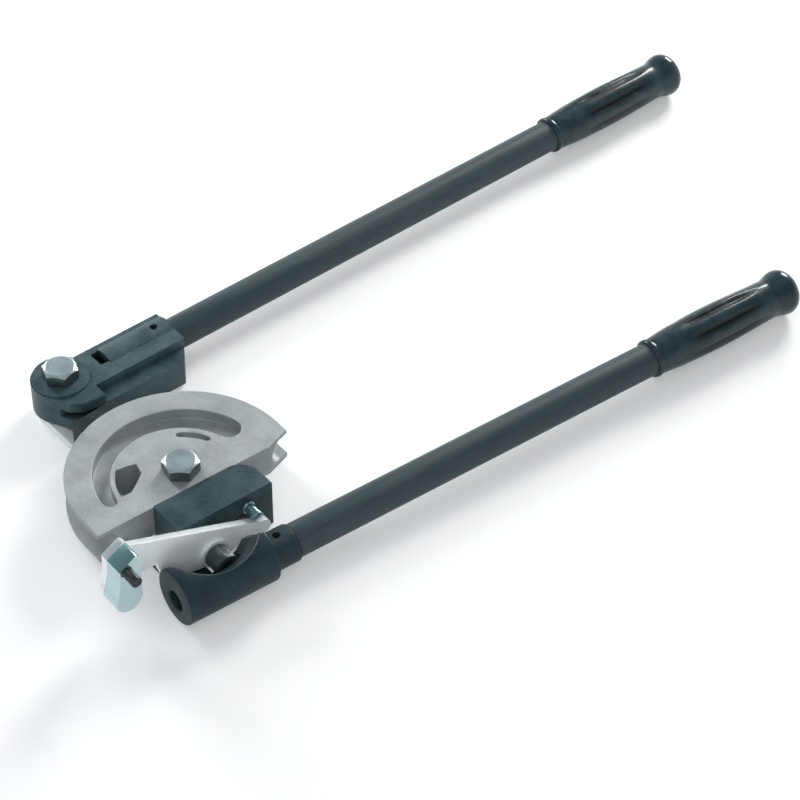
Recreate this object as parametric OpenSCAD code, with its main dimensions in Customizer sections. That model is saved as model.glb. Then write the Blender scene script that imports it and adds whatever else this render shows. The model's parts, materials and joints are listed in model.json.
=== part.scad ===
// Two-handled lever tube bender, lying on its side.
// A half-round former with a tube groove is bolted to the lower handle's head.
// A link swings under it about the centre bolt and carries the shoe and the lever.
// X runs along the handles, Y from the lower handle to the lever, Z up from the floor.

/* [Bent tube] */
// Outside diameter of the tube that the tool bends
tube_od = 19; // [16:0.5:20]
// Bend radius at the tube's centre line
bend_r = 76; // [70:0.5:80]
// Room between the tube and its groove, on the radius
groove_room = 0.15; // [0.05:0.05:0.4]

/* [Former] */
// Thickness of the former
former_t = 26; // [24:0.5:30]
// Rim of the former past the tube's centre line
rim_lip = 6.5; // [5:0.1:8]
// Straight part of the groove past the centre line, on the tube's side
former_tail = 19; // [18.5:0.5:22]
// Straight part past the centre line at the slanted far corner
former_tail_far = 12; // [8:0.5:14]
// Width of the plain rim on the top face
rim_w = 20; // [18:0.5:23]
// Mean width of the arc-shaped recess in the top face
recess_w = 14.5; // [12:0.5:15.5]
// Depth of the recess
recess_depth = 9; // [6:0.5:12]
// Depth of the small crescent beside the centre bolt
crescent_depth = 4; // [2:0.5:5]
// Radius of the hub boss under the former
hub_r = 17; // [15:0.5:18]
// Height of the hub boss under the former
hub_h = 5; // [4:0.5:8]

/* [Link] */
// Distance from the centre bolt to the lever bolt
link_len = 138; // [134:0.5:145]
// Thickness of the link
link_t = 6; // [5:0.5:8]
// Radius of the link's end under the former
link_hub_r = 30; // [27:0.5:31]
// Radius of the link's end under the lever
link_end_r = 19.5; // [18:0.5:22]
// Thickness of the thrust washers on the link
thrust_t = 1; // [0.5:0.1:2]
// Angle of the link from the Y axis in the stored pose
link_angle = 5; // [0:0.5:10]

/* [Shoe] */
// Length of the shoe along the tube
shoe_len = 38; // [32:1:42]
// Distance of the shoe's middle from the link's middle line
shoe_shift = -5; // [-6:0.5:2]
// Depth of the shoe, from its face to its back
shoe_depth = 11; // [9:0.5:12]
// Height of the shoe
shoe_h = 27; // [26:0.5:30]
// Gap between the former's rim and the face of the shoe
shoe_gap = 0.7; // [0.5:0.1:1.2]

/* [Bolts] */
// Shank diameter of the two hex bolts
bolt_d = 16; // [14:0.5:18]
// Width across the flats of the hex heads
bolt_af = 24; // [22:0.5:27]
// Height of the hex heads
bolt_head_h = 10; // [7:0.5:12]
// Diameter of the threaded ends in the link
bolt_thread_d = 12; // [10:0.5:13]
// Wall of the bronze bushes round the shanks
bush_wall = 3; // [2:0.25:4]
// Running room of a turning fit, on the radius
run_room = 0.05; // [0.02:0.01:0.09]

/* [Lever head] */
// Height of the lever head
lever_head_h = 26; // [24:0.5:28]
// Height of the pad under the lever bolt's head
boss_rise = 2; // [1:0.5:4]
// Radius of the lever head's round end
lever_end_r = 22.5; // [20:0.5:24]
// Length of the lever head from its bolt to the handle side
lever_head_len = 96; // [88:1:110]
// Gap between the front of the lever head and the back of the shoe
head_gap = 8.8; // [7:0.1:11]
// Distance from the handle's axis to the back of the lever head
lever_back = 13; // [11:0.5:16]
// Distance from the lever bolt to the start of the socket barrel
lever_barrel_from = 38; // [34:1:46]
// Angle of the lever from the X axis in the stored pose
lever_angle = 2.3; // [0:0.1:6]

/* [Handles] */
// Outside diameter of the handle tubes
handle_d = 25.4; // [22:0.2:27]
// Wall of the handle tubes
handle_wall = 3; // [2:0.25:4]
// Height of the handle axes above the floor
handle_z = 18; // [18:0.5:20]
// Wall of the socket barrels round the handles
socket_wall = 5; // [4:0.25:5.25]
// Depth of a handle tube in its socket
socket_depth = 24; // [18:1:25]
// Free length of the lever's tube from its socket to the grip
lever_free = 386; // [300:1:450]
// Free length of the lower tube from its socket to the grip
lower_free = 322; // [300:1:450]
// Diameter of the roll pins through the sockets
roll_pin_d = 6; // [4:0.5:7]

/* [Grips] */
// Length of a grip
grip_len = 142; // [120:1:170]
// Diameter of the bulb at the end of a grip
grip_bulb_d = 36; // [32:0.5:36]
// Diameter of the swell in the middle of a grip
grip_swell_d = 34.5; // [31:0.5:36]
// Diameter of the front collar of a grip
grip_collar_d = 30.5; // [29.5:0.5:34]
// Diameter of a grip at its necks
grip_neck_d = 28.5; // [28.25:0.25:29.25]
// Number of flutes round a grip
grip_flutes = 8; // [5:1:10]
// Depth of a flute at the swell
flute_depth = 1.6; // [0.8:0.1:2]

/* [Lower head] */
// Distance from the centre bolt's axis to the lower handle's axis
lower_y = 87.5; // [86:0.5:95]
// Angle of the lower handle from the X axis
lower_angle = -1.8; // [-4:0.1:0]
// Length of the barrel on the tube's side of the centre bolt
lower_barrel_left = 65; // [61:0.5:65]
// Length of the barrel on the handle's side of the centre bolt
lower_barrel_right = 8; // [6:0.5:12]
// Length of the sleeve on the handle's side of the centre bolt
lower_sleeve = 30; // [28:0.5:36]
// Wall of the sleeve round the lower tube
sleeve_wall = 1.5; // [1:0.25:3]
// Radius of the barrel
lower_barrel_r = 21; // [20:0.25:22]
// Diameter of the open hole in the end of the barrel
end_hole_d = 16; // [12:0.5:17]
// Depth of the open hole in the end of the barrel
end_hole_depth = 11; // [8:0.5:11.5]
// Length of the block on the tube's side of the centre bolt
block_left = 37; // [34:0.5:40]
// Length of the block on the handle's side of the centre bolt
block_right = 42; // [38:0.5:46]
// Radius of the block's round corner
block_round = 16; // [10:0.5:20]
// Depth of the block in front of the former
block_depth = 31.5; // [28:0.5:33]
// Height of the block's top above the former's top
block_rise = 2; // [0:0.5:4]
// Thickness of the web that joins the block and the barrel
web_t = 6.5; // [5:0.25:6.5]

/* [Latch] */
// Thickness of the latch plate
plate_t = 6; // [4:0.5:7]
// Distance of the latch screw from the centre bolt, along the handles
latch_x = -18.5; // [-22:0.5:-16]
// Height of the latch screw above the floor
latch_z = 19; // [19:0.5:22]
// Radius of the plate round the latch screw
latch_boss_r = 12; // [11:0.25:12]
// Diameter of the latch screw's shank
latch_screw_d = 10; // [8:0.5:12]
// Length of the spacer between the block and the latch plate
spacer_len = 7.5; // [5:0.5:9]
// Depth of the jaw along the tube
jaw_depth = 16; // [12:0.5:17]
// Width of the jaw
jaw_w = 16.5; // [14.5:0.5:19]
// Play between the tube and the jaw
jaw_play = 1; // [0.5:0.25:2]
// Diameter of the stop pin over the plate
stop_pin_d = 8; // [6:0.5:9]
// Diameter of the jaw's pin
jaw_pin_d = 8; // [6:0.5:9]

/* [Hidden] */
$fn = 96;
eps = 0.01;
past = 1;

// Heights of the stack on the link, from the floor up
link_top = link_t;
seat_z = link_top + thrust_t;
former_z = seat_z + hub_h;
former_top = former_z + former_t;
groove_z = former_z + former_t / 2;
lever_top = seat_z + lever_head_h;
boss_h = lever_head_h + boss_rise;
grip_cap = 10;

// Sizes of the former that follow from the tube
groove_r = tube_od / 2 + groove_room;
former_r = bend_r + rim_lip;
recess_out_r = former_r - rim_w;
recess_in_r = recess_out_r - recess_w;
recess_shift = [-4, -2.5];
recess_from = 16;
recess_to = 176;
crescent_r = 36;
crescent_w = 5;
crescent_from = 24;
crescent_to = 58;
window_room = 3.5;
window_corners = [[-60, 3], [-40, 3], [-35, 6], [-23.5, 14.5], [-21.5, 24.5], [-30, 27], [-60, 30]];
far_corner = 20;
rim_chamfer = 0.6;
tangent_step = 0.4;

// Turning fits
bolt_r = bolt_d / 2;
bush_in_r = bolt_r + run_room;
bush_out_r = bush_in_r + bush_wall;
press_room = 0.02;
screw_room = 0.2;
hex_side = 2 / sqrt(3);
bolt_flat = 0.88;
bolt_lean = 1.4;
pivot_turn = 17;
lever_turn = 8;

// Lower head: flat front of the former, block, web and barrel
flat_y = -former_tail;
block_front = flat_y - block_depth;
block_top = former_top + block_rise;
block_bottom = link_top + 2;
handle_r = handle_d / 2;
socket_r = handle_r + socket_wall;
sleeve_r = handle_r + sleeve_wall;
barrel_z = lower_barrel_r + 0.2;
web_from = -50;
web_in = 6;
web_to = latch_x - 5.5;
foot_h = 11;
foot_depth = block_depth + former_tail - link_hub_r - past;
scoop_r = 40;
scoop_floor = 2;
scoop_x = -26;

// Latch: plate between the block and the barrel
plate_back = block_front - spacer_len;
plate_front = plate_back - plate_t;
latch_r = latch_screw_d / 2;
latch_root_r = latch_r * 0.8;
plate_room = 0.3;
plate_foot_x = -58;
plate_foot_drop = 4;
plate_foot_w = 6;
swing_room = 0.8;
washer_t = 2.5;
washer_r = 11;
screw_head_r = 9;
screw_head_h = 15;
jaw_in_x = -bend_r - tube_od / 2 - jaw_play;
jaw_out_x = jaw_in_x - jaw_w;
jaw_rise = 30.5;
jaw_top_out = groove_z + tube_od / 2 + jaw_rise;
jaw_slope = 8;
jaw_nose = 3;
jaw_side = 12;
jaw_top_in = jaw_top_out + jaw_slope;
jaw_round = 10.5;
jaw_pin_x = jaw_out_x + jaw_pin_d / 2 + 1.5;
jaw_pin_z = jaw_top_out - jaw_pin_d / 4;
jaw_pin_out = 12;
jaw_pin_grip = 10;
plate_end = 43;
stop_in = 4;
stop_grip = 12;
latch_thread = 16;
rivet_r = 4;
rivet_len = 2;
rivet_pitch = 22;
plate_end_rise = 4;
plate_end_r = 6;
plate_arm = groove_z + tube_od / 2 + 1.5;
stop_x = latch_x + plate_end - stop_in;
stop_r = stop_pin_d / 2;

// Shoe and screws
shoe_face = former_r + shoe_gap;
shoe_back = shoe_face + shoe_depth;
shoe_screw_d = 8;
shoe_screw_edge = 8;
shoe_screws_at = [for (side = [-1, 1]) shoe_shift + side * (shoe_len / 2 - shoe_screw_edge)];
former_screw_d = 6;
former_screw_head_r = former_screw_d * 0.8;
former_screws_at = [[-30, groove_z + 5], [14, groove_z - 7]];
former_screw_grip = 14;

// Lever head: front face, ledge along it, slot in its round corner and pocket before the barrel
lever_front = link_len - shoe_back - head_gap;
lever_skirt_z = 1;
end_cut_x = 10;
end_cut_y = 14;
front_corner = [[10, 0], [-4, 2], [-12, 8]];
ledge_x = 15;
ledge_y = 22.5;
ledge_drop = 8;
slot_h = 7;
slot_y = 19;
head_pocket_w = 7;
head_pocket_l = 14;
head_pocket_depth = 8;

// Places of the moving groups
module at_link() {
    rotate(link_angle) children();
}

module at_lever() {
    at_link() translate([0, link_len, 0]) rotate(lever_angle - link_angle) children();
}

module at_lower_handle() {
    translate([0, -lower_y, 0]) rotate(lower_angle) children();
}

// Round bar along X between two stations
module bar_x(from, to, r, z = 0) {
    translate([from, 0, z]) rotate([0, 90, 0]) cylinder(r = r, h = to - from);
}

// Round bar along -Y that starts at y
module bar_y(x, y, z, r, h) {
    translate([x, y, z]) rotate([90, 0, 0]) cylinder(r = r, h = h);
}

// Outline in X and Z, extruded from y towards -Y
module slab_y(y, h) {
    translate([0, y, 0]) rotate([90, 0, 0]) linear_extrude(h) children();
}

module ring(r_out, r_in, h) {
    difference() {
        cylinder(r = r_out, h = h);
        translate([0, 0, -past]) cylinder(r = r_in, h = h + 2 * past);
    }
}

// Section of the former in radius and height
module former_section() {
    difference() {
        polygon([[0, former_z], [former_r - rim_chamfer, former_z], [former_r, former_z + rim_chamfer],
            [former_r, former_top - rim_chamfer], [former_r - rim_chamfer, former_top],
            [0, former_top]]);
        translate([bend_r, groove_z]) circle(r = groove_r);
        translate([bend_r, groove_z - groove_r]) square([rim_lip + past, 2 * groove_r]);
    }
}

// Arc-shaped pocket with round ends, from one angle to another
module arc_pocket(r, w, depth, from, to) {
    translate([0, 0, former_top - depth]) {
        rotate(from) rotate_extrude(angle = to - from)
            translate([r - w / 2, 0]) square([w, depth + past]);
        for (a = [from, to])
            rotate(a) translate([r, 0, 0]) cylinder(r = w / 2 - tangent_step, h = depth + past);
    }
}

// Radius of the recess's inner edge at an angle: its circle lies off the former's centre
function recess_edge(a) =
    let (u = [cos(a), sin(a)], across = recess_shift[0] * u[1] - recess_shift[1] * u[0])
    recess_shift * u + sqrt(pow(recess_in_r, 2) - pow(across, 2));

// Recess that narrows towards the tube's side, with round ends
module former_recess() {
    translate([0, 0, former_top - recess_depth]) {
        linear_extrude(recess_depth + past) difference() {
            intersection() {
                circle(r = recess_out_r);
                polygon([[0, 0], for (a = [recess_from, 60, 130, recess_to])
                    2 * former_r * [cos(a), sin(a)]]);
            }
            translate(recess_shift) circle(r = recess_in_r);
        }
        for (a = [recess_from, recess_to])
            rotate(a) translate([(recess_out_r + recess_edge(a)) / 2, 0, 0])
                cylinder(r = (recess_out_r - recess_edge(a)) / 2 - tangent_step, h = recess_depth + past);
    }
}

module former() {
    color("silver") difference() {
        union() {
            rotate_extrude(angle = 180) former_section();
            for (far = [0, 1]) mirror([1 - far, 0, 0])
                rotate([90, 0, 0]) linear_extrude(former_tail) former_section();
            translate([0, 0, seat_z]) cylinder(r = hub_r, h = hub_h + eps);
        }
        translate([0, 0, seat_z - past])
            cylinder(r = bush_out_r + press_room, h = hub_h + former_t + 2 * past);
        former_recess();
        arc_pocket(crescent_r, crescent_w, crescent_depth, crescent_from, crescent_to);
        translate([0, 0, former_z - past]) linear_extrude(former_t + 2 * past) {
            former_window();
            polygon([[former_r - far_corner, flat_y - past], [former_r + past, flat_y - past],
                [former_r + past, -former_tail_far], [former_r, -former_tail_far],
                [former_r - far_corner, flat_y]]);
        }
        for (p = former_screws_at)
            bar_y(p[0], flat_y + former_screw_grip, p[1],
                former_screw_d / 2 + screw_room, former_screw_grip + past);
    }
}

// Window beside the hub, round on its outer side
module former_window() {
    intersection() {
        translate(recess_shift) circle(r = recess_in_r - window_room);
        polygon(window_corners);
    }
}

module former_bush() {
    color("peru") translate([0, 0, seat_z])
        ring(bush_out_r, bush_in_r, hub_h + former_t);
}

module former_screws() {
    color("dimgray") for (p = former_screws_at) {
        bar_y(p[0], flat_y + former_screw_grip - past, p[1],
            former_screw_d / 2, former_screw_grip - past + block_depth - former_screw_d);
        bar_y(p[0], block_front + former_screw_d, p[1], former_screw_head_r, former_screw_d);
    }
}

// Plan of the block, with its handle end cut round
module block_plan() {
    difference() {
        translate([-block_left, block_front]) square([block_left + block_right, block_depth]);
        translate([block_right - block_round, flat_y - block_round]) difference() {
            square(block_round + past);
            circle(r = block_round);
        }
    }
}

module lower_head() {
    color("darkslategray") difference() {
        union() {
            translate([0, 0, block_bottom])
                linear_extrude(block_top - block_bottom) block_plan();
            translate([web_from, block_front, 0])
                cube([block_right - web_from, foot_depth, foot_h]);
            translate([web_from, -lower_y + web_in, 0])
                cube([web_to - web_from, lower_y - web_in + block_front + eps, web_t]);
            at_lower_handle() lower_barrel();
        }
        at_lower_handle() {
            bar_x(lower_sleeve - socket_depth, lower_sleeve + past, handle_r + press_room, handle_z);
            bar_x(-lower_barrel_left - past, -lower_barrel_left + end_hole_depth,
                end_hole_d / 2, handle_z);
            roll_pin_hole(lower_sleeve - socket_depth / 2);
        }
        for (p = former_screws_at) {
            bar_y(p[0], flat_y + past, p[1],
                former_screw_d / 2 + screw_room, block_depth + 2 * past);
            bar_y(p[0], block_front + former_screw_d, p[1],
                former_screw_head_r + screw_room, former_screw_d + past);
        }
        translate([-2 * lower_barrel_left, plate_front - swing_room, web_t])
            cube([4 * lower_barrel_left, spacer_len + plate_t + swing_room - eps, 4 * lower_barrel_r]);
        bar_y(latch_x, plate_front, latch_z, washer_r + swing_room, washer_t + screw_head_h + past);
        bar_y(latch_x, block_front + latch_thread, latch_z, latch_root_r + screw_room,
            latch_thread + past);
        bar_y(stop_x, block_front + stop_grip, stop_z(), stop_r + press_room, stop_grip + past);
    }
}

// Barrel of the lower head, hollowed on its upper back for the latch screw
module lower_barrel() {
    difference() {
        bar_x(-lower_barrel_left, lower_barrel_right, lower_barrel_r, barrel_z);
        translate([scoop_x, 0, barrel_z]) rotate([45, 0, 0]) {
            translate([0, scoop_r + scoop_floor, -2 * scoop_r])
                cylinder(r = scoop_r, h = 4 * scoop_r);
            translate([0, sleeve_r, -2 * scoop_r]) cube([scoop_r, scoop_r, 4 * scoop_r]);
        }
    }
    bar_x(lower_barrel_right - eps, lower_sleeve, sleeve_r, handle_z);
}

module roll_pin_hole(x) {
    translate([x, 0, 0]) cylinder(r = roll_pin_d / 2 + press_room, h = 2 * handle_z + 2 * past);
}

// Split spring pin down through a socket and its tube
module roll_pin(x, top) {
    foot = 3;
    slit = 1;
    translate([x, 0, foot]) difference() {
        cylinder(r = roll_pin_d / 2, h = top - foot);
        translate([0, 0, -past]) cylinder(r = roll_pin_d / 4, h = top + past);
        translate([0, -slit / 2, -past]) cube([roll_pin_d, slit, top + past]);
    }
}

// Handle tube from the bottom of its socket to near the end of its grip
module handle_tube(mouth, free) {
    from = mouth - socket_depth;
    to = mouth + free + grip_len - grip_cap;
    difference() {
        bar_x(from, to, handle_r, handle_z);
        bar_x(from - past, to + past, handle_r - handle_wall, handle_z);
        roll_pin_hole(mouth - socket_depth / 2);
    }
}

// Half section of a grip along its own axis
module grip_section() {
    collar = grip_collar_d / 2;
    neck = grip_neck_d / 2;
    swell = grip_swell_d / 2;
    bulb = grip_bulb_d / 2;
    waist = neck + (bulb - neck) / 4;
    swell_at = grip_len * 0.5;
    front_at = 9;
    neck_at = grip_len - 28;
    bulb_at = grip_len - 10;
    bulb_round = 7;
    collar_w = 5;
    front = [for (i = [0:8]) let (t = i / 8)
        [front_at + t * (swell_at - front_at), neck + (swell - neck) * sin(90 * t)]];
    back = [for (i = [1:8]) let (t = i / 8)
        [swell_at + t * (neck_at - swell_at), waist + (swell - waist) * cos(90 * t)]];
    flare = [for (i = [1:6]) let (t = i / 6)
        [neck_at + t * (bulb_at - neck_at), waist + (bulb - waist) * (1 - cos(180 * t)) / 2]];
    bulb_end = [for (a = [90:-15:0])
        [grip_len - bulb_round + bulb_round * cos(a), bulb - bulb_round + bulb_round * sin(a)]];
    difference() {
        polygon(concat([[0, 0], [0, collar - 1], [1, collar], [collar_w - 1, collar], [collar_w, neck]],
            front, back, flare, bulb_end, [[grip_len, 0]]));
        translate([-past, -past]) square([grip_len - grip_cap + past, handle_r + press_room + past]);
    }
}

module grip(x) {
    flute_r = 7;
    flute_at = 12;
    flute_len = grip_len - 46;
    translate([x, 0, handle_z]) rotate([0, 90, 0]) difference() {
        rotate_extrude() rotate(90) mirror([0, 1]) grip_section();
        for (i = [0:grip_flutes - 1]) rotate(i * 360 / grip_flutes)
            translate([grip_swell_d / 2 - flute_depth + flute_r, 0, flute_at])
                cylinder(r = flute_r, h = flute_len);
    }
}

module lower_tube() {
    color("darkslategray") at_lower_handle()
        handle_tube(lower_sleeve, lower_free);
}

module lower_grip() {
    color("black") at_lower_handle() grip(lower_sleeve + lower_free);
}

module lower_roll_pin() {
    color("dimgray") at_lower_handle()
        roll_pin(lower_sleeve - socket_depth / 2, handle_z + sleeve_r - 1.5);
}

// Height of the plate's upper edge at a station along the handles
function plate_edge(x) =
    let (right = latch_x + plate_end, right_z = latch_z + plate_end_rise, left = jaw_in_x,
        left_z = jaw_top_in - 6)
    right_z + (left_z - right_z) * (right - x) / (right - left);
function plate_slope() = (plate_edge(-50) - plate_edge(50)) / 100;
function stop_z() = plate_edge(stop_x) + (stop_r + plate_room) * sqrt(1 + pow(plate_slope(), 2));

module stop_pin() {
    color("gainsboro") {
        bar_y(stop_x, block_front + stop_grip - past, stop_z(), stop_r,
            stop_grip - past + spacer_len + plate_t);
        bar_y(stop_x, block_front, stop_z(), stop_r + 1, 2);
    }
}

module latch_spacer() {
    color("gainsboro") translate([latch_x, block_front, latch_z]) rotate([90, 0, 0])
        ring(latch_boss_r - 2, latch_r + run_room, spacer_len);
}

module latch_washer() {
    color("gainsboro") translate([latch_x, plate_front - run_room, latch_z]) rotate([90, 0, 0])
        ring(washer_r, latch_r + run_room, washer_t);
}

module latch_screw() {
    color("dimgray") translate([latch_x, 0, latch_z]) rotate([90, 0, 0]) difference() {
        union() {
            translate([0, 0, -block_front - latch_thread + past])
                cylinder(r = latch_root_r, h = latch_thread - past + eps);
            translate([0, 0, -block_front])
                cylinder(r = latch_r, h = spacer_len + plate_t + washer_t + 2 * run_room);
            translate([0, 0, -plate_front + washer_t + 2 * run_room])
                cylinder(r = screw_head_r, h = screw_head_h);
        }
        translate([0, 0, -plate_front + washer_t + screw_head_h * 0.4])
            cylinder(r = screw_head_r / 2 * hex_side, h = screw_head_h, $fn = 6);
    }
}

// Latch plate: pivot boss, tail under the stop pin, arm over the tube
module plate_outline() {
    tail = [latch_x + plate_end, latch_z + plate_end_rise];
    difference() {
        union() {
            translate([latch_x, latch_z]) circle(r = latch_boss_r);
            polygon([[jaw_in_x, plate_edge(jaw_in_x)], tail, [tail[0], tail[1] - plate_end_r],
                [latch_x + stop_in, latch_z - latch_boss_r + past],
                [latch_x, latch_z - latch_boss_r + tangent_step / 4],
                [plate_foot_x, latch_z - plate_foot_drop], [plate_foot_x - plate_foot_w, plate_arm],
                [jaw_in_x, plate_arm]]);
            translate(tail - [0, plate_end_r]) circle(r = plate_end_r);
        }
        translate([latch_x, latch_z]) circle(r = latch_r + run_room);
    }
}

module latch_plate() {
    color("gainsboro") {
        slab_y(plate_back, plate_t) plate_outline();
        slab_y(plate_back, plate_t) jaw_outline();
    }
}

// Outer jaw beside the tube, with a sloped top and a round foot
module jaw_outline() {
    translate([jaw_in_x - jaw_round, groove_z + jaw_round]) circle(r = jaw_round);
    polygon([[jaw_in_x, groove_z + jaw_round], [jaw_in_x, jaw_top_in - jaw_nose * 2 / 3],
        [jaw_in_x - jaw_nose, jaw_top_in], [jaw_out_x, jaw_top_out], [jaw_out_x, jaw_top_out - jaw_side],
        [jaw_in_x - 2 * jaw_round, groove_z + jaw_round]]);
}

module latch_jaw() {
    color("gainsboro") difference() {
        slab_y(plate_front, jaw_depth) jaw_outline();
        jaw_pin_bore(press_room);
    }
}

module jaw_pin_bore(room) {
    bar_y(jaw_pin_x, plate_front - jaw_depth + jaw_pin_grip, jaw_pin_z, jaw_pin_d / 2 + room,
        jaw_pin_grip + past);
}

module jaw_pin() {
    color("black") bar_y(jaw_pin_x, plate_front - jaw_depth + jaw_pin_grip - past, jaw_pin_z,
        jaw_pin_d / 2, jaw_pin_grip + jaw_pin_out);
}

module jaw_rivets() {
    color("gainsboro") for (up = [0, rivet_pitch])
        bar_y(jaw_in_x - jaw_round, plate_back + rivet_len, groove_z + jaw_round + up,
            rivet_r, rivet_len);
}

// Tapered bar between the two round ends of the link
module link_taper() {
    wide = link_hub_r - tangent_step;
    narrow = link_end_r - tangent_step;
    polygon([[wide, 0], [narrow, link_len], [-narrow, link_len], [-wide, 0]]);
}

// Link: flat tapered bar, tapped for both bolts
module link_arm() {
    color("gainsboro") at_link() difference() {
        union() {
            linear_extrude(link_t) link_taper();
            cylinder(r = link_hub_r, h = link_t);
            translate([0, link_len, 0]) cylinder(r = link_end_r, h = link_t);
        }
        for (y = [0, link_len])
            translate([0, y, -past])
                cylinder(r = bolt_thread_d / 2 + press_room, h = link_t + 2 * past);
        for (x = shoe_screws_at) translate([x, shoe_face + shoe_depth / 2, -past])
            cylinder(r = shoe_screw_d / 2 + press_room, h = link_t + 2 * past);
    }
}

// Hex bolt from its flush threaded end up to its chamfered head
module hex_bolt(head_z) {
    cylinder(r = bolt_thread_d / 2, h = link_t + eps);
    translate([0, 0, link_t]) cylinder(r = bolt_r, h = head_z - link_t + eps);
    translate([0, 0, head_z]) intersection() {
        cylinder(r = bolt_af / 2 * hex_side, h = bolt_head_h, $fn = 6);
        cylinder(r1 = bolt_af / 2 + bolt_head_h * bolt_lean, r2 = bolt_af / 2 * bolt_flat,
            h = bolt_head_h);
    }
}

module pivot_bolt() {
    color("lightgray") at_link() rotate(pivot_turn) hex_bolt(former_top + run_room);
}

module lever_bolt() {
    color("lightgray") at_link() translate([0, link_len, 0]) rotate(lever_turn)
        hex_bolt(seat_z + boss_h + run_room);
}

module pivot_washer() {
    color("peru") at_link() translate([0, 0, link_top]) ring(hub_r - 2, bolt_r + run_room, thrust_t);
}

module lever_washer() {
    color("peru") at_link() translate([0, link_len, link_top])
        ring(link_end_r - 1, bolt_r + run_room, thrust_t);
}

// Shoe: block on the link with a shallow groove that backs the tube
module shoe() {
    color("darkslategray") at_link() difference() {
        translate([shoe_shift - shoe_len / 2, shoe_face, link_top])
            cube([shoe_len, shoe_depth, shoe_h]);
        translate([shoe_shift, bend_r, 0]) bar_x(-shoe_len, shoe_len, groove_r, groove_z);
        for (x = shoe_screws_at) translate([x, shoe_face + shoe_depth / 2, link_top - past])
            cylinder(r = shoe_screw_d / 2 + press_room, h = shoe_h / 3 + past);
    }
}

module shoe_screws() {
    color("dimgray") at_link() for (x = shoe_screws_at)
        translate([x, shoe_face + shoe_depth / 2, 0])
            cylinder(r = shoe_screw_d / 2, h = link_t + shoe_h / 3 - past);
}

// Plan of the lever head: round end, full front corner and straight socket end
module lever_plan() {
    circle(r = lever_end_r);
    round_in = lever_end_r - tangent_step;
    polygon(concat([[0, lever_back], [lever_head_len, lever_back],
        [lever_head_len, -lever_front + end_cut_y], [lever_head_len - end_cut_x, -lever_front]],
        [for (p = front_corner) p - [0, lever_front]],
        [[-round_in * cos(40), -round_in * sin(40)], [-round_in, 0]]));
}

module lever_head() {
    color("darkslategray") at_lever() difference() {
        union() {
            translate([0, 0, seat_z]) linear_extrude(lever_head_h) lever_plan();
            translate([0, 0, seat_z]) cylinder(r = lever_end_r - past, h = boss_h);
            translate([0, 0, lever_skirt_z])
                linear_extrude(lever_top - lever_skirt_z) intersection() {
                    lever_plan();
                    translate([lever_barrel_from, -2 * lever_front]) square(4 * lever_front);
                }
            bar_x(lever_barrel_from, lever_head_len, socket_r, handle_z);
        }
        translate([0, 0, seat_z - past])
            cylinder(r = bush_out_r + press_room, h = boss_h + 2 * past);
        bar_x(lever_head_len - socket_depth, lever_head_len + past, handle_r + press_room, handle_z);
        roll_pin_hole(lever_head_len - socket_depth / 2);
        translate([ledge_x, -2 * lever_front, lever_top - ledge_drop])
            cube([lever_head_len, 2 * lever_front - ledge_y, ledge_drop + past]);
        translate([ledge_x - 2 * lever_front, -2 * lever_front, lever_top - ledge_drop - slot_h - past])
            cube([2 * lever_front, 2 * lever_front - slot_y, slot_h]);
        translate([lever_barrel_from - head_pocket_w, -head_pocket_l / 2,
            lever_top - head_pocket_depth])
            cube([head_pocket_w, head_pocket_l, head_pocket_depth + past]);
    }
}

module lever_bush() {
    color("peru") at_lever() translate([0, 0, seat_z]) ring(bush_out_r, bush_in_r, boss_h);
}

module lever_tube() {
    color("darkslategray") at_lever() handle_tube(lever_head_len, lever_free);
}

module lever_grip() {
    color("black") at_lever() grip(lever_head_len + lever_free);
}

module lever_roll_pin() {
    color("dimgray") at_lever() roll_pin(lever_head_len - socket_depth / 2, handle_z + socket_r - 1.5);
}

former();
former_bush();
former_screws();
lower_head();
lower_tube();
lower_grip();
lower_roll_pin();
latch_spacer();
latch_screw();
latch_washer();
stop_pin();
link_arm();
pivot_bolt();
pivot_washer();
shoe();
shoe_screws();
lever_bolt();
lever_washer();
lever_head();
lever_bush();
lever_tube();
lever_grip();
lever_roll_pin();
latch_plate();
latch_jaw();
jaw_pin();
jaw_rivets();
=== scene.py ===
# %% [markdown]
# # A lever tube bender, dressed for a studio picture
# The bender lies on its side: a cast half-round former with a tube groove, a lower handle bolted to
# it, a link that swings under it, and a lever on the end of the link. A small zinc latch holds the
# tube. The solids come packed from the CAD source, so this notebook gives them rounded cast edges,
# moulded grips, finishes, light and a camera. Lengths are in metres, in the frame of the CAD solids.

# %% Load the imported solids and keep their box
import bpy
import bmesh
import json
import math
from mathutils import Matrix, Vector
from mathutils.bvhtree import BVHTree


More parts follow.
